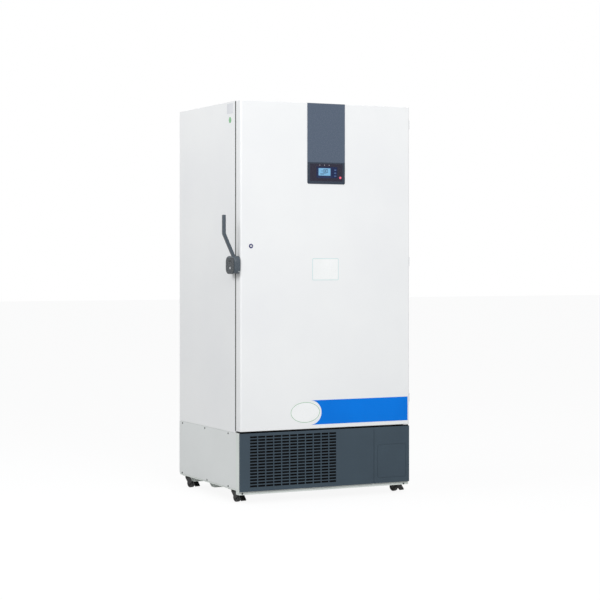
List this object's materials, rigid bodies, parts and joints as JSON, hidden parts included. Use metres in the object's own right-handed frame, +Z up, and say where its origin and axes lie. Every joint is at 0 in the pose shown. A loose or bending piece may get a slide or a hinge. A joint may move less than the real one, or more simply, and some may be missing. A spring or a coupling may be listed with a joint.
{
  "type": "ultra low temperature freezer",
  "caption": "Upright ultra low temperature freezer: insulated cabinet with outer and inner doors, side lever latch, louvred machine bay and braked casters.",
  "frame": {"origin": "on the floor, under the middle of the part's bounding box, handle and hinges included", "axes": "+Z up, the door faces -Y, +X is to the right of a person facing the door"},
  "size_m": [1.065, 0.791, 1.99],
  "materials": {
    "white_steel": "fine textured powder coat",
    "frame_steel": "powder coat",
    "stainless": "brushed",
    "foam": "rigid polyurethane foam",
    "throat_plastic": "moulded",
    "inner_door_plastic": "vacuum formed",
    "gasket_rubber": "silicone",
    "slate_plastic": "moulded, fine grain",
    "housing_plastic": "moulded, satin",
    "fascia_film": "printed film",
    "display_glass": "backlit window",
    "key_plastic": "moulded",
    "lamp_red": "clear red",
    "lock_metal": "polished",
    "latch_coating": "satin coat",
    "zinc": "zinc plated",
    "caster_black": "moulded",
    "pedal_black": "moulded",
    "filter_mat": "open mat",
    "fin_aluminium": "pressed fins",
    "copper": "drawn tube",
    "black_steel": "enamel",
    "grey_plastic": "moulded",
    "jacket": "closed-cell jacket"
  },
  "bodies": {
    "cabinet": {"cabinet_shell": "white_steel", "cabinet_insulation": "foam", "evaporator_tubes": "copper", "inner_liner": "stainless", "throat_frame": "throat_plastic", "access_port": "grey_plastic", "shelves": "stainless", "inner_door_hinges": "stainless", "latch_striker": "zinc", "cabinet_hinges": "white_steel", "base_frame": "frame_steel", "left_side_panel": "white_steel", "right_side_panel": "white_steel", "rear_panel": "white_steel", "power_inlet": "grey_plastic", "front_grille": "slate_plastic", "access_cover": "slate_plastic", "air_filter": "filter_mat", "condenser": "fin_aluminium", "fan_shroud": "zinc", "fan_motor": "black_steel", "compressors": "black_steel", "heat_exchanger": "jacket", "pipework": "copper", "electrical_box": "zinc", "backup_battery": "grey_plastic", "caster_plates": "zinc"},
    "door": {"door_shell": "white_steel", "door_insulation": "foam", "door_liner": "throat_plastic", "door_gasket": "gasket_rubber", "control_housing": "housing_plastic", "control_fascia": "fascia_film", "display_window": "display_glass", "alarm_lamp": "lamp_red", "lock_barrel": "lock_metal", "latch_bracket": "zinc", "door_hinges": "white_steel"},
    "inner_door_lower": {"inner_door_lower": "inner_door_plastic"},
    "inner_door_upper": {"inner_door_upper": "inner_door_plastic"},
    "key_1": {"control_key_1": "key_plastic"},
    "key_2": {"control_key_2": "key_plastic"},
    "key_3": {"control_key_3": "key_plastic"},
    "door_lock": {"lock_plug": "lock_metal"},
    "lever": {"latch_lever": "latch_coating", "latch_hook": "zinc"},
    "lever_lock": {"lever_lock_plug": "lock_metal"},
    "fan": {"fan": "grey_plastic"},
    "fork_front_left": {"caster_fork_front_left": "zinc"},
    "wheel_front_left": {"caster_wheel_front_left": "caster_black"},
    "pedal_front_left": {"caster_pedal_front_left": "pedal_black"},
    "fork_front_right": {"caster_fork_front_right": "zinc"},
    "wheel_front_right": {"caster_wheel_front_right": "caster_black"},
    "pedal_front_right": {"caster_pedal_front_right": "pedal_black"},
    "fork_rear_left": {"caster_fork_rear_left": "zinc"},
    "wheel_rear_left": {"caster_wheel_rear_left": "caster_black"},
    "pedal_rear_left": {"caster_pedal_rear_left": "pedal_black"},
    "fork_rear_right": {"caster_fork_rear_right": "zinc"},
    "wheel_rear_right": {"caster_wheel_rear_right": "caster_black"},
    "pedal_rear_right": {"caster_pedal_rear_right": "pedal_black"}
  },
  "joints": [
    {"name": "door_hinge", "type": "hinge", "parent": "cabinet", "child": "door", "pos_m": [0.5225, -0.3335, 1.174], "axis": [0, 0, 1], "range_deg": [0, 110]},
    {"name": "inner_door_lower_hinge", "type": "hinge", "parent": "cabinet", "child": "inner_door_lower", "pos_m": [0.3955, -0.2645, 0.8], "axis": [0, 0, 1], "range_deg": [0, 99]},
    {"name": "inner_door_upper_hinge", "type": "hinge", "parent": "cabinet", "child": "inner_door_upper", "pos_m": [0.3955, -0.2645, 1.5], "axis": [0, 0, 1], "range_deg": [0, 99]},
    {"name": "lever_pivot", "type": "hinge", "parent": "door", "child": "lever", "pos_m": [-0.4615, -0.3625, 1.178], "axis": [1, 0, 0], "range_deg": [0, 75]},
    {"name": "lever_lock_turn", "type": "hinge", "parent": "lever", "child": "lever_lock", "pos_m": [-0.4715, -0.3435, 1.164], "axis": [-1, 0, 0], "range_deg": [0, 90]},
    {"name": "door_lock_turn", "type": "hinge", "parent": "door", "child": "door_lock", "pos_m": [-0.3895, -0.3805, 1.272], "axis": [0, -1, 0], "range_deg": [0, 90]},
    {"name": "fan_spin", "type": "hinge", "parent": "cabinet", "child": "fan", "pos_m": [-0.1515, -0.2945, 0.191], "axis": [0, 1, 0], "continuous": true},
    {"name": "key_1_press", "type": "slide", "parent": "door", "child": "key_1", "axis": [0, 1, 0], "range_m": [0, 0.0008], "stiffness_N_per_m": 200},
    {"name": "key_2_press", "type": "slide", "parent": "door", "child": "key_2", "axis": [0, 1, 0], "range_m": [0, 0.0008], "stiffness_N_per_m": 200},
    {"name": "key_3_press", "type": "slide", "parent": "door", "child": "key_3", "axis": [0, 1, 0], "range_m": [0, 0.0008], "stiffness_N_per_m": 200},
    {"name": "swivel_front_left", "type": "hinge", "parent": "cabinet", "child": "fork_front_left", "pos_m": [-0.4145, -0.2525, 0.052], "axis": [0, 0, 1], "continuous": true},
    {"name": "roll_front_left", "type": "hinge", "parent": "fork_front_left", "child": "wheel_front_left", "pos_m": [-0.41103, -0.2722, 0.0225], "axis": [-0.9848, -0.1736, 0], "continuous": true},
    {"name": "brake_front_left", "type": "hinge", "parent": "fork_front_left", "child": "pedal_front_left", "pos_m": [-0.40651, -0.2978, 0.039], "axis": [0.9848, 0.1736, 0], "range_deg": [0, 10]},
    {"name": "swivel_front_right", "type": "hinge", "parent": "cabinet", "child": "fork_front_right", "pos_m": [0.4785, -0.2525, 0.052], "axis": [0, 0, 1], "continuous": true},
    {"name": "roll_front_right", "type": "hinge", "parent": "fork_front_right", "child": "wheel_front_right", "pos_m": [0.48401, -0.27172, 0.0225], "axis": [-0.9613, -0.2756, 0], "continuous": true},
    {"name": "brake_front_right", "type": "hinge", "parent": "fork_front_right", "child": "pedal_front_right", "pos_m": [0.49118, -0.29672, 0.039], "axis": [0.9613, 0.2756, 0], "range_deg": [0, 10]},
    {"name": "swivel_rear_left", "type": "hinge", "parent": "cabinet", "child": "fork_rear_left", "pos_m": [-0.4145, 0.3445, 0.052], "axis": [0, 0, 1], "continuous": true},
    {"name": "roll_rear_left", "type": "hinge", "parent": "fork_rear_left", "child": "wheel_rear_left", "pos_m": [-0.40966, 0.32509, 0.0225], "axis": [-0.9703, -0.2419, 0], "continuous": true},
    {"name": "brake_rear_left", "type": "hinge", "parent": "fork_rear_left", "child": "pedal_rear_left", "pos_m": [-0.40337, 0.29987, 0.039], "axis": [0.9703, 0.2419, 0], "range_deg": [0, 10]},
    {"name": "swivel_rear_right", "type": "hinge", "parent": "cabinet", "child": "fork_rear_right", "pos_m": [0.4785, 0.3445, 0.052], "axis": [0, 0, 1], "continuous": true},
    {"name": "roll_rear_right", "type": "hinge", "parent": "fork_rear_right", "child": "wheel_rear_right", "pos_m": [0.48059, 0.32461, 0.0225], "axis": [-0.9945, -0.1045, 0], "continuous": true},
    {"name": "brake_rear_right", "type": "hinge", "parent": "fork_rear_right", "child": "pedal_rear_right", "pos_m": [0.48331, 0.29875, 0.039], "axis": [0.9945, 0.1045, 0], "range_deg": [0, 10]}
  ],
  "couplings": [
    {"joint": "inner_door_lower_hinge", "follows": "door_hinge", "ratio": 0.9},
    {"joint": "inner_door_upper_hinge", "follows": "door_hinge", "ratio": 0.9}
  ]
}
